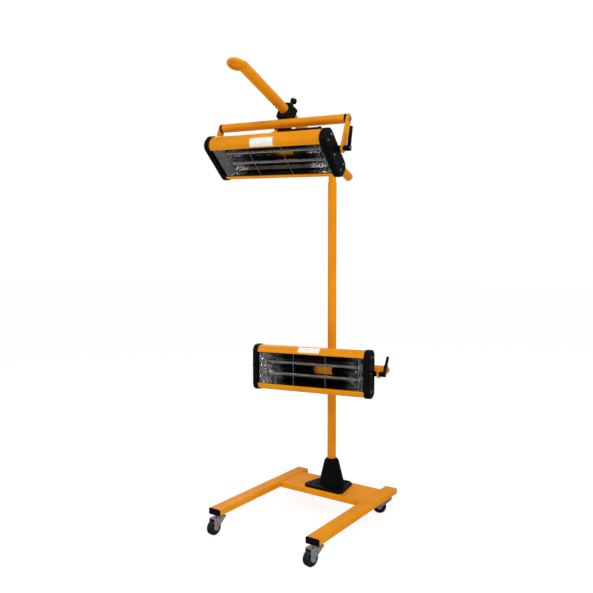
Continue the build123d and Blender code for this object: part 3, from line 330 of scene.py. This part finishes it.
def vinyl(name, colour):
    """Blank vinyl film: satin, faintly wrinkled and yellowed in places."""
    material, tree = new_material(name)
    where = add(tree, "TexCoord", out="Object")
    age = patches(tree, where, WIPES, 5.0, (0.45, 0.75, 0.0, 0.4))
    colours = {"Factor": age, FIRST: linear(colour), SECOND: linear("#D9D4C8")}
    sockets = {
        "Base Color": add(tree, "Mix", colours, **BLEND),
        "Roughness": add(tree, "MapRange", {"Value": age, **limits(0.0, 0.4, 0.32, 0.5)}),
        "Normal": roughened(tree, where, WRINKLES, 3.0, 0.06 * MM, 0.5),
    }
    add(tree, "OutputMaterial", {"Surface": add(tree, "BsdfPrincipled", sockets)})
    return material


def resistance_wire(name):
    """Oxidised resistance wire: dull brown-grey metal with darker scale."""
    material, tree = new_material(name)
    where = add(tree, "TexCoord", out="Object")
    scale = patches(tree, where, FLAKES, 4.0, (0.35, 0.7, 0.0, 1.0))
    colours = {"Factor": scale, FIRST: linear("#4E4843"), SECOND: linear("#241C17")}
    sockets = {
        "Base Color": add(tree, "Mix", colours, **BLEND),
        "Metallic": 1.0,
        "Roughness": add(tree, "MapRange", {"Value": scale, **limits(0.0, 1.0, 0.35, 0.6)}),
        "Normal": roughened(tree, where, DIE_MARKS, 2.0, 0.02 * MM, 0.4),
    }
    add(tree, "OutputMaterial", {"Surface": add(tree, "BsdfPrincipled", sockets)})
    return material


# Mesh helpers: a shape is an array of points and a list of blocks of faces with equal corner counts
def piece(name, shape, body, *materials, flat=0):
    """Make a mesh object of a row-frame shape that rides on a body; its last faces may be flat."""
    points, blocks = shape
    mesh = bpy.data.meshes.new(name)
    mesh.from_pydata(points.tolist(), [], [face for block in blocks for face in block.tolist()])
    mesh.update()
    rounded = len(mesh.polygons) - flat
    mesh.polygons.foreach_set("use_smooth", [True] * rounded + [False] * flat)
    made = bpy.data.objects.new(name, mesh)
    bpy.context.scene.collection.objects.link(made)
    for material in materials:
        mesh.materials.append(material)
    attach(made, body)
    return made


def moved(matrix, points):
    """Points of a local frame as row-frame points, for an array of any shape."""
    return points @ np.array(matrix.to_3x3()).T + np.array(matrix.to_translation())


def quads(rows, columns, close_rows=False, close_columns=False):
    """Four-sided faces of a grid of points stored row by row."""
    row, column = np.meshgrid(
        np.arange(rows if close_rows else rows - 1),
        np.arange(columns if close_columns else columns - 1),
        indexing="ij",
    )
    after, beside = (row + 1) % rows, (column + 1) % columns
    corners = [(row, column), (after, column), (after, beside), (row, beside)]
    return np.stack([a * columns + b for a, b in corners], axis=-1).reshape(-1, 4)


def end_faces(rows, sides):
    """The first and the last ring of a tube as faces that point outwards."""
    ring = np.arange(sides)
    return np.stack([ring[::-1], ring + (rows - 1) * sides])


def joined(shapes):
    """Several shapes as one: each one's faces move up by the points before it."""
    starts = np.cumsum([0] + [len(shape[0]) for shape in shapes])
    blocks = [block + start for start, shape in zip(starts, shapes) for block in shape[1]]
    return np.concatenate([shape[0] for shape in shapes]), blocks


def closed_sheet(grid):
    """A thin closed sheet: an outer grid, an inner one that faces back, and a strip round them."""
    rows, columns = grid.shape[1:3]
    count = rows * columns
    cells = quads(rows, columns)
    place = np.arange(count).reshape(rows, columns)
    rim = np.concatenate([place[0], place[1:, -1], place[-1, -2::-1], place[-2:0:-1, 0]])
    ahead = np.roll(rim, -1)
    strip = np.stack([rim, rim + count, ahead + count, ahead], axis=1)
    return grid.reshape(-1, 3), [cells, cells[:, ::-1] + count, strip]


def axes_frame(origin, along, towards=(0, 0, 1)):
    """A frame whose X axis runs along a direction, and whose Y axis leans towards a second."""
    x = Vector(along).normalized()
    guide = Vector(towards)
    if abs(x.dot(guide.normalized())) > 0.95:
        guide = Vector((0, 1, 0))
    y = (guide - x * guide.dot(x)).normalized()
    made = Matrix((x, y, x.cross(y))).transposed().to_4x4()
    made.translation = Vector(origin)
    return made


def full_turn(sides):
    """Equal steps round a circle."""
    return np.linspace(0, 2 * math.pi, sides, endpoint=False)


def lathe(matrix, profile, sides):
    """Revolve a closed outline of (along, radius) pairs: (x, r cos t, r sin t) about the X axis."""
    x, r = np.array(profile).T[:, :, None]
    t = full_turn(sides)
    points = np.stack(np.broadcast_arrays(x, r * np.cos(t), r * np.sin(t)), axis=-1)
    return moved(matrix, points.reshape(-1, 3)), [quads(len(profile), sides, True, True)]


OFF_AXIS = (0.3, 0.5, 0.8)  # a direction in which no path here starts


def pipe(path, radius, sides):
    """Carry a circle along a path: centre + r (side cos t + up sin t), with no needless twist."""
    ahead = np.gradient(path, axis=0)
    ahead /= np.linalg.norm(ahead, axis=1)[:, None]
    side = np.cross(ahead[0], OFF_AXIS)
    across = np.empty_like(ahead)
    for i, way in enumerate(ahead):
        side = side - way * side.dot(way)
        side /= np.linalg.norm(side)
        across[i] = side
    up = np.cross(ahead, across)
    t = full_turn(sides)[None, :, None]
    points = path[:, None] + radius * (np.cos(t) * across[:, None] + np.sin(t) * up[:, None])
    faces = [quads(len(path), sides, False, True), end_faces(len(path), sides)]
    return points.reshape(-1, 3), faces


# Finishes, each named after what it is made of and how it was made
ORANGE, DEEP_ORANGE = "#EC9400", "#C27400"
BLACK, WORN_BLACK = "#05080C", "#0E141A"
orange_coat = powder_coat("orange_powder_coat", ORANGE, DEEP_ORANGE)
black_coat = powder_coat("black_powder_coat", "#040608", "#030405", 0.4)
black_nylon = moulded("black_moulded_nylon", BLACK, WORN_BLACK)
black_skirt = moulded("black_moulded_polypropylene", "#040506", "#0A0C0E", 0.48, 900.0)
grey_nylon = moulded("grey_moulded_hub_nylon", "#26282A", "#424446", 0.45)
orange_plug = moulded("orange_moulded_plug", "#EC8B00", "#CC7604", 0.4)
zinc = plated("zinc_plated_pressed_steel", "#D8DADC", "#6A6E72", 0.26, 140.0, 0.75)
bright_screw = plated("zinc_plated_turned_screw", "#D2D4D5", "#8E9295", 0.24, 900.0)
guard_steel = plated("bright_drawn_guard_wire", "#B4B6B8", "#7E8082", 0.3, 700.0, 0.7)
black_oxide = plated("black_oxide_screw", "#2A2C2E", "#141517", 0.36, 900.0)
steatite = ceramic("unglazed_steatite_ceramic")
tread = tyre_rubber("thermoplastic_rubber_tread")
label_film = vinyl("blank_white_label_film", "#F4F4F2")
grey_film = vinyl("blank_grey_label_film", "#8A8D90")
coil_wire = resistance_wire("oxidised_resistance_wire")

finishes = {
    "boom_plug": orange_plug,
    "boom_head": black_coat,
    "column_skirt": black_skirt,
    "rail_plugs": black_nylon,
    "height_knob": black_nylon,
    "boom_lever": black_nylon,
    "foot_bolts": black_oxide,
    "caster_stems": zinc,
}
lamp_finishes = {
    "clamp_block": black_coat,
    "clamp_knob": black_nylon,
    "bar_plugs": black_nylon,
    "cap_left": black_nylon,
    "cap_right": black_nylon,
    "tilt_lever": black_nylon,
    "yoke_bolt": bright_screw,
    "leg_bolts": bright_screw,
    "cap_screws": bright_screw,
    "tube_holders": steatite,
    "guard": guard_steel,
}

# Degrees by which each lamp's face leans away from the axis that its yoke turns about
LEANS = {"lower": 0.0, "upper": -22.8}
BOX_SEAM = 46 * MM  # end of the terminal box to the edge of its lid
SEAM_HALF = 0.3 * MM


def lamp_frame(name, lean):
    """A lamp's own frame at its tilt axis: X across, Y to its back and Z up its face."""
    tilt = joints[f"{name}_lamp_tilt"]
    x = Vector(tilt["axis"]).normalized()
    bolt = Vector(joints[f"{name}_yoke_turn"]["axis"]).normalized()
    square = bolt.cross(x)
    angle = math.radians(lean)
    z = (bolt * math.cos(angle) - square * math.sin(angle)).normalized()
    made = Matrix((x, z.cross(x), z)).transposed().to_4x4()
    made.translation = Vector(tilt["pos_m"])
    return made


lamps = {name: lamp_frame(name, lean) for name, lean in LEANS.items()}


def node_points(name):
    """All mesh points of a CAD node."""
    co = np.empty(len(nodes[name].data.vertices) * 3)
    nodes[name].data.vertices.foreach_get("co", co)
    return co.reshape(-1, 3)


def local_box(name, matrix):
    """Lowest and highest corner of a CAD node in a lamp's own frame."""
    inside = moved(matrix.inverted(), node_points(name))
    return inside.min(0), inside.max(0)


for name, matrix in lamps.items():
    low, high = local_box(f"{name}_terminal_box", matrix)
    box_name = f"{name}_coated_box_with_nylon_lid"
    finishes[f"{name}_terminal_box"] = box_finish(box_name, matrix, low[0] + BOX_SEAM)
    low, high = local_box(f"{name}_reflector", matrix)
    sheet_name = f"{name}_polished_stainless_sheet_painted_dark"
    finishes[f"{name}_reflector"] = bright_sheet(sheet_name, matrix, high[0])
    for ending, material in lamp_finishes.items():
        finishes[f"{name}_{ending}"] = material

for name, node in nodes.items():
    if name.startswith("caster_fork"):
        material = zinc
    elif name.startswith("caster_wheel"):
        material = tread
    else:
        material = finishes.get(name, orange_coat)
    node.data.materials.clear()
    node.data.materials.append(material)


# Caster wheels: a rubber tyre on a nylon hub with ribs in its recess, all in mm
WHEEL_SIDES = 72
WHEEL_OUTLINE = [  # distance from the wheel's middle plane, and radius
    (1.5, 23.5), (1.6, 24.7), (2.2, 25.0), (6.4, 25.0), (8.2, 24.6), (9.5, 23.7), (10.2, 22.4),
    (10.5, 21.0), (10.5, 19.4), (10.1, 19.0), (6.6, 18.6), (6.5, 18.2), (6.5, 11.4), (6.9, 10.6),
    (10.8, 10.0), (11.4, 9.6), (11.5, 9.0), (11.5, 4.6), (11.1, 4.1),
]
TYRE_INNER = 18.9  # radius past which the outline is rubber
RIBS = 6
RIB_DEPTHS = (6.0, 9.4)
RIB_RADII = (10.0, 18.8)
RIB_EDGES = (-0.9, 0.9)  # across the rib
BOX_CORNERS = 8
BOX_FACES = np.array([
    (0, 1, 3, 2), (4, 6, 7, 5), (0, 4, 5, 1), (2, 3, 7, 6), (0, 2, 6, 4), (1, 5, 7, 3),
])


def caster_wheel(name):
    """Revolve half an outline, mirrored about the wheel's middle, and add radial ribs each side.

    A rib's corner lies at (side x, r cos t - w sin t, r sin t + w cos t) in the axle's frame.
    """
    roll = joints[f"roll_{name}"]
    matrix = axes_frame(roll["pos_m"], roll["axis"])
    half = np.array(WHEEL_OUTLINE) * MM
    outline = np.concatenate([half, half[::-1] * (-1, 1)])
    headings = full_turn(RIBS)
    grid = np.meshgrid((-1, 1), headings, RIB_DEPTHS, RIB_RADII, RIB_EDGES, indexing="ij")
    side, t, x, r, w = [values.ravel() for values in grid]
    y, z = r * np.cos(t) - w * np.sin(t), r * np.sin(t) + w * np.cos(t)
    corners = np.stack([side * x, y, z], axis=-1)
    starts = np.arange(0, len(corners), BOX_CORNERS)
    rib_faces = (starts[:, None, None] + BOX_FACES).reshape(-1, 4)
    ribs = moved(matrix, corners * MM), [rib_faces]
    shape = joined([lathe(matrix, outline, WHEEL_SIDES), ribs])
    made = piece(f"wheel_{name}", shape, f"wheel_{name}", tread, grey_nylon, flat=len(rib_faces))
    radius = outline[:, 1]
    is_hub = np.minimum(radius, np.roll(radius, -1)) <= TYRE_INNER * MM
    slots = np.concatenate([np.repeat(is_hub, WHEEL_SIDES), np.ones(len(rib_faces), bool)])
    made.data.polygons.foreach_set("material_index", slots.astype(int).tolist())
    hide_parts(f"caster_wheel_{name}")


for name in ("front_left", "front_right", "rear_left", "rear_right"):
    caster_wheel(name)


# Infrared tubes: thin quartz walls with drawn-in ends and a coiled wire inside
TUBE_SIDES = 40
TUBE_WALL = 0.9 * MM
TUBE_BORE_LEFT = 0.6 * MM  # least radius of the bore in the drawn-in ends
TUBE_END_WALL = 2 * MM
TUBE_TAPER = [  # mm from the tube's end, and share of its radius
    (0.0, 0.34), (4.0, 0.42), (7.0, 0.7), (11.0, 0.93), (16.0, 1.0),
]
COIL_TURNS = 150
COIL_STEPS = 14  # points in each turn
COIL_RADIUS = 1.9 * MM
COIL_END_GAP = 14 * MM
COIL_WIRE = 0.32 * MM
LEAD_WIRE = 0.5 * MM
LEAD_END_GAP = 1 * MM
LEAD_STEPS = 6  # points in each lead
COIL_SIDES, LEAD_SIDES = 6, 8  # round the wire


def quartz_tubes(name, matrix):
    """Revolve a thin wall, and wind a helix (x, r cos t, r sin t) with straight leads inside it."""
    low, high = local_box(f"{name}_quartz_tubes", matrix)
    middle = (low[1] + high[1]) / 2
    radius = (high[1] - low[1]) / 2
    half = high[0]
    inward, share = np.array(TUBE_TAPER).T
    near = np.stack([inward * MM - half, radius * share], axis=1)
    outer = np.concatenate([near, near[::-1] * (-1, 1)])
    inner_x = outer[::-1, 0] * (half - TUBE_END_WALL) / half
    inner = np.stack([inner_x, np.maximum(outer[::-1, 1] - TUBE_WALL, TUBE_BORE_LEFT)], axis=1)
    reach = half - COIL_END_GAP
    steps = np.linspace(0, 1, COIL_TURNS * COIL_STEPS)
    t = 2 * math.pi * COIL_TURNS * steps
    x = 2 * reach * steps - reach
    coil = np.stack([x, COIL_RADIUS * np.cos(t), COIL_RADIUS * np.sin(t)], axis=1)
    end = half - LEAD_END_GAP
    leads = [
        np.linspace((-end, 0, 0), (-reach, 0, 0), LEAD_STEPS),
        np.linspace((reach, 0, 0), (end, 0, 0), LEAD_STEPS),
    ]
    walls, wires = [], []
    for z in (low[2] + radius, high[2] - radius):
        here = matrix @ Matrix.Translation((0, middle, z))
        walls.append(lathe(here, np.concatenate([outer, inner]), TUBE_SIDES))
        wires.append(pipe(moved(here, coil), COIL_WIRE, COIL_SIDES))
        wires += [pipe(moved(here, lead), LEAD_WIRE, LEAD_SIDES) for lead in leads]
    glass = quartz(f"{name}_fused_quartz", matrix)
    tubes = piece(f"{name}_tube_glass", joined(walls), f"{name}_lamp", glass)
    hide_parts(f"{name}_quartz_tubes")
    piece(f"{name}_filaments", joined(wires), f"{name}_lamp", coil_wire)


# Blank labels, laid over the rounded upper edge of each housing
HOUSING_CORNER = 22 * MM
LABEL_FACES = (0.15 * MM, 0.02 * MM)  # outer and inner face above the housing
LABEL_GRID = (24, 18)  # points along the lamp and round the corner
LABELS = {  # left and right end in mm, first and last angle round the corner in degrees
    "lower": (-43, 39, 14, 76),
    "upper": (-44, 42, 10, 84),
}


def housing_label(name, matrix, start, end, first, last):
    """A film round the housing's corner: (x, y - r cos a, z + r sin a) from end to end in mm."""
    low, high = local_box(f"{name}_housing", matrix)
    y, z = low[1] + HOUSING_CORNER, high[2] - HOUSING_CORNER
    along = np.linspace(start * MM, end * MM, LABEL_GRID[0])
    arc = np.radians(np.linspace(first, last, LABEL_GRID[1]))
    lift, x, a = np.meshgrid(LABEL_FACES, along, arc, indexing="ij")
    r = HOUSING_CORNER + lift
    grid = np.stack([x, y - r * np.cos(a), z + r * np.sin(a)], axis=-1)
    piece(f"{name}_blank_label", closed_sheet(moved(matrix, grid)), f"{name}_lamp", label_film)


for name, matrix in lamps.items():
    quartz_tubes(name, matrix)
for name, matrix in lamps.items():
    housing_label(name, matrix, *LABELS[name])

# A small blank plate on the front of the skirt's cone
CONE_FOOT, CONE_TOP = 97 * MM, 9 * MM  # below the top of the skirt
CONE_FOOT_RADIUS, CONE_TOP_RADIUS = 48 * MM, 27 * MM
PLATE_FACES = (0.4 * MM, 0.05 * MM)  # outer and inner face above the cone
PLATE_HEIGHTS = (24 * MM, 34 * MM)  # above the cone's foot
PLATE_HEADINGS = (-66, -32)  # degrees about the column, from +X
PLATE_SLANT = 6 * MM  # rise of the plate for each radian
PLATE_GRID = (6, 12)  # points up the cone and round it


def cone_plate():
    """A thin plate on a cone: (r cos h, r sin h, z), where r falls with the height."""
    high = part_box("column_skirt")[1]
    foot = high.z - CONE_FOOT
    taper = (CONE_TOP_RADIUS - CONE_FOOT_RADIUS) / (CONE_FOOT - CONE_TOP)
    rises = np.linspace(*PLATE_HEIGHTS, PLATE_GRID[0])
    headings = np.radians(np.linspace(*PLATE_HEADINGS, PLATE_GRID[1]))
    lift, rise, heading = np.meshgrid(PLATE_FACES, rises, headings, indexing="ij")
    r = CONE_FOOT_RADIUS + taper * rise + lift
    z = foot + rise + heading * PLATE_SLANT
    grid = np.stack([r * np.cos(heading), r * np.sin(heading), z], axis=-1)
    piece("skirt_blank_plate", closed_sheet(grid), "base", grey_film)


cone_plate()

# Weld beads along the joints between the rails and the cross plate
BEAD_RADIUS = 2.2 * MM
BEAD_FLATNESS = 0.45
BEAD_STEP = 0.4 * MM
BEAD_RIPPLE = 2.4 * MM
BEAD_TAPER = 3 * MM
BEAD_SIDES = 14
BEAD_LEAST, BEAD_SWELL = 0.86, 0.14  # shares of the radius between the ripples, and that they add
BEAD_END = 0.35  # share of the radius at the seam's ends
BEAD_WANDERS = ((0.15 * MM, 170.0), (0.1 * MM, 411.0))  # height, and radians per metre
BEAD_SUNK = 0.1 * MM  # the top seams below the plate's face
BEAD_INSET = 0.4 * MM  # the end seams inside the plate's edge
BEAD_GAP = 4 * MM  # from a seam's end to the plate's edge
BEAD_FOOT_GAP = 3 * MM


def weld_bead(name, start, end, up):
    """A flattened tube whose radius swells every 2.4 mm along the seam, with a little wander."""
    start, end = Vector(start), Vector(end)
    length = (end - start).length
    count = max(int(length / BEAD_STEP), 8)
    x = (length * np.arange(count + 1) / count)[:, None]
    ripple = BEAD_LEAST + BEAD_SWELL * abs(np.cos(math.pi * x / BEAD_RIPPLE))
    taper = np.minimum(1.0, BEAD_END + np.minimum(x, length - x) / BEAD_TAPER)
    r = BEAD_RADIUS * ripple * taper
    wander = sum(reach * np.sin(x * rate) for reach, rate in BEAD_WANDERS)
    t = full_turn(BEAD_SIDES)
    grid = np.broadcast_arrays(x, BEAD_FLATNESS * r * np.cos(t), wander + r * np.sin(t))
    points = moved(axes_frame(start, end - start, up), np.stack(grid, axis=-1).reshape(-1, 3))
    faces = [quads(count + 1, BEAD_SIDES, False, True), end_faces(count + 1, BEAD_SIDES)]
    piece(name, (points, faces), "base", orange_coat)


plate_low, plate_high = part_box("cross_plate")
for side, label in ((-1, "left"), (1, "right")):
    seam_x = plate_high.x if side > 0 else plate_low.x
    seam_z = plate_high.z - BEAD_SUNK
    front = (seam_x, plate_low.y + BEAD_GAP, seam_z)
    rear = (seam_x, plate_high.y - BEAD_GAP, seam_z)
    weld_bead(f"weld_top_{label}", front, rear, (0, 0, 1))
    edge_x = seam_x - side * BEAD_INSET
    for end_y, place, way in ((plate_low.y, "front", -1), (plate_high.y, "rear", 1)):
        foot = (edge_x, end_y, plate_low.z + BEAD_FOOT_GAP)
        head = (edge_x, end_y, plate_high.z - BEAD_GAP)
        weld_bead(f"weld_{place}_{label}", foot, head, (0, way, 0))

# Screw heads in the outer ends of the lever hubs, in mm: height and radius
HUB_REACH = 10.5 * MM  # radius within which a lever's points belong to its hub
SCREW_SUNK = 1.6 * MM
SCREW_SIDES = 32
SCREW_OUTLINE = [
    (0, 0.2), (0, 4.4), (1.4, 4.4), (1.85, 4.1), (2, 3.5), (2.05, 2.4), (1.6, 2.1), (1.55, 0.2),
]


def lever_screw(lamp):
    """Revolve a domed screw head with a round recess at the outer end of a tilt lever's hub."""
    turn = joints[f"{lamp}_lamp_tilt"]
    origin = Vector(turn["pos_m"])
    axis = Vector(turn["axis"]).normalized()
    away = node_points(f"{lamp}_tilt_lever") - np.array(origin)
    reach = away @ np.array(axis)
    radius = np.linalg.norm(away - reach[:, None] * np.array(axis), axis=1)
    end = reach[radius < HUB_REACH].max()
    matrix = axes_frame(origin + axis * (end - SCREW_SUNK), axis)
    shape = lathe(matrix, np.array(SCREW_OUTLINE) * MM, SCREW_SIDES)
    piece(f"{lamp}_tilt_lever_hub_screw", shape, f"{lamp}_tilt_lever", bright_screw)


for name in lamps:
    lever_screw(name)

# Cable glands: a ribbed clamping nut round each stub on the terminal boxes
GLAND_INSET = 10 * MM
GLAND_HALF = 8.5  # mm, half the height of the nut and its foot
GLAND_SIDES = 96
GLAND_FLUTES = 18
FLUTE_DEPTH = 0.22  # mm to each side of the ring's radius
ROUND, HEXAGONAL, FLUTED = 0, 1, 2
GLAND_ROWS = [  # height and radius in mm, and the kind of ring
    (-GLAND_HALF, 5.2, ROUND), (-GLAND_HALF, 7.6, HEXAGONAL), (4.5 - GLAND_HALF, 7.6, HEXAGONAL),
    (5 - GLAND_HALF, 7.1, HEXAGONAL), (5 - GLAND_HALF, 6.0, ROUND), (6 - GLAND_HALF, 6.7, FLUTED),
    (GLAND_HALF - 4, 6.4, FLUTED), (GLAND_HALF - 1.2, 5.9, ROUND), (GLAND_HALF - 0.6, 5.45, ROUND),
]


def gland_nut(name, lamp):
    """A hexagonal foot and a fluted nut: rings (x, r cos t, r sin t) whose radius swings with t."""
    low, high = local_box(f"{name}_terminal_box", lamp)
    half = GLAND_HALF * MM
    middle = lamp @ Vector((high[0] - GLAND_INSET, high[1] - half, (low[2] + high[2]) / 2))
    matrix = axes_frame(middle, lamp.to_3x3() @ Vector((0, 1, 0)))
    x, radius, kind = np.array(GLAND_ROWS).T[:, :, None]
    t = full_turn(GLAND_SIDES)
    hexagon = radius * math.cos(math.pi / 6) / np.cos(t % (math.pi / 3) - math.pi / 6)
    fluted = radius + FLUTE_DEPTH * np.cos(GLAND_FLUTES * t)
    r = np.select([kind == HEXAGONAL, kind == FLUTED], [hexagon, fluted], radius)
    grid = np.stack(np.broadcast_arrays(x, r * np.cos(t), r * np.sin(t)), axis=-1)
    points = moved(matrix, grid.reshape(-1, 3) * MM)
    faces = [quads(len(GLAND_ROWS), GLAND_SIDES, False, True)]
    piece(f"{name}_gland_nut", (points, faces), f"{name}_lamp", black_nylon)


for name, matrix in lamps.items():
    gland_nut(name, matrix)

# Studio: a pale floor and soft lights
FLOOR_HALF = 30.0
FLOOR_GLOW, FLOOR_GLOW_SHARE = 1.08, 0.82  # as the camera alone sees the floor
AMBIENT, MIRRORED, BACKDROP = 0.6, 0.3, 1.0  # the world's strength for light, gloss and camera
LIGHTS = {  # place and target in metres, width in metres, power in watts
    "key_light": ((2.7, -1.6, 3.5), (0, -0.2, 0.8), 1.5, 70),
    "fill_light": ((-0.9, -3.1, 1.9), (0, -0.1, 0.8), 1.8, 15),
    "back_light": ((-2.4, 1.6, 2.6), (0, 0, 0.9), 1.6, 30),
}
floor_mesh = bpy.data.meshes.new("studio_floor")
corners = [(-1, -1, 0), (1, -1, 0), (1, 1, 0), (-1, 1, 0)]
floor_mesh.from_pydata((np.array(corners) * FLOOR_HALF).tolist(), [], [(0, 1, 2, 3)])
floor = bpy.data.objects.new("studio_floor", floor_mesh)
bpy.context.scene.collection.objects.link(floor)
floor_paint, paint = new_material("matt_white_studio_floor")
pale = add(paint, "BsdfDiffuse", {"Color": linear("#F7F7F7")})
dim = add(paint, "BsdfDiffuse", {"Color": linear("#6E6E6E")})
glow = add(paint, "Emission", {"Color": linear("#FFFFFF"), "Strength": FLOOR_GLOW})
glossy = add(paint, "LightPath", out="Is Glossy Ray")
lit = add(paint, "MixShader", {0: glossy, 1: pale, 2: dim})
direct = add(paint, "LightPath", out="Is Camera Ray")
share = add(paint, "Math", {0: direct, 1: FLOOR_GLOW_SHARE}, operation="MULTIPLY")
seen = add(paint, "MixShader", {0: share, 1: lit, 2: glow})
add(paint, "OutputMaterial", {"Surface": seen})
floor_mesh.materials.append(floor_paint)


def soft_light(name, place, target, size, power):
    """A square soft light that points at a place."""
    lamp = bpy.data.lights.new(name, "AREA")
    lamp.size = size
    lamp.energy = power
    made = bpy.data.objects.new(name, lamp)
    bpy.context.scene.collection.objects.link(made)
    made.location = place
    made.rotation_mode = "QUATERNION"
    made.rotation_quaternion = (Vector(target) - Vector(place)).to_track_quat("-Z", "Y")
    return made


key, fill, back = [soft_light(name, *how) for name, how in LIGHTS.items()]

world = bpy.data.worlds.new("studio")
bpy.context.scene.world = world
world.use_nodes = True
sky = world.node_tree
sky.nodes.clear()
ambient = add(sky, "Background", {"Color": linear("#FFFFFF"), "Strength": AMBIENT})
mirrored = add(sky, "Background", {"Color": linear("#FFFFFF"), "Strength": MIRRORED})
plain = add(sky, "Background", {"Color": linear("#FFFFFF"), "Strength": BACKDROP})
glossy = add(sky, "LightPath", out="Is Glossy Ray")
soft = add(sky, "MixShader", {0: glossy, 1: ambient, 2: mirrored})
direct = add(sky, "LightPath", out="Is Camera Ray")
both = add(sky, "MixShader", {0: direct, 1: soft, 2: plain})
add(sky, "OutputWorld", {"Surface": both})

bpy.context.scene.view_settings.view_transform = "Standard"

# Camera where the photograph was taken from: sensor and lens in mm, its place in metres, and how
# far it looks down and is turned to the left of +Y, in degrees
SENSOR, LENS = 36.0, 37.38
CAMERA_PLACE = (1.2118, -1.9757, 0.9062)
CAMERA_DIP, CAMERA_HEADING = 2.52, 34.83
camera = bpy.data.cameras.new("photo_camera")
camera.sensor_width = SENSOR
camera.lens = LENS
eye = bpy.data.objects.new("photo_camera", camera)
bpy.context.scene.collection.objects.link(eye)
eye.location = CAMERA_PLACE
eye.rotation_euler = (math.radians(90 - CAMERA_DIP), 0, math.radians(CAMERA_HEADING))
bpy.context.scene.camera = eye
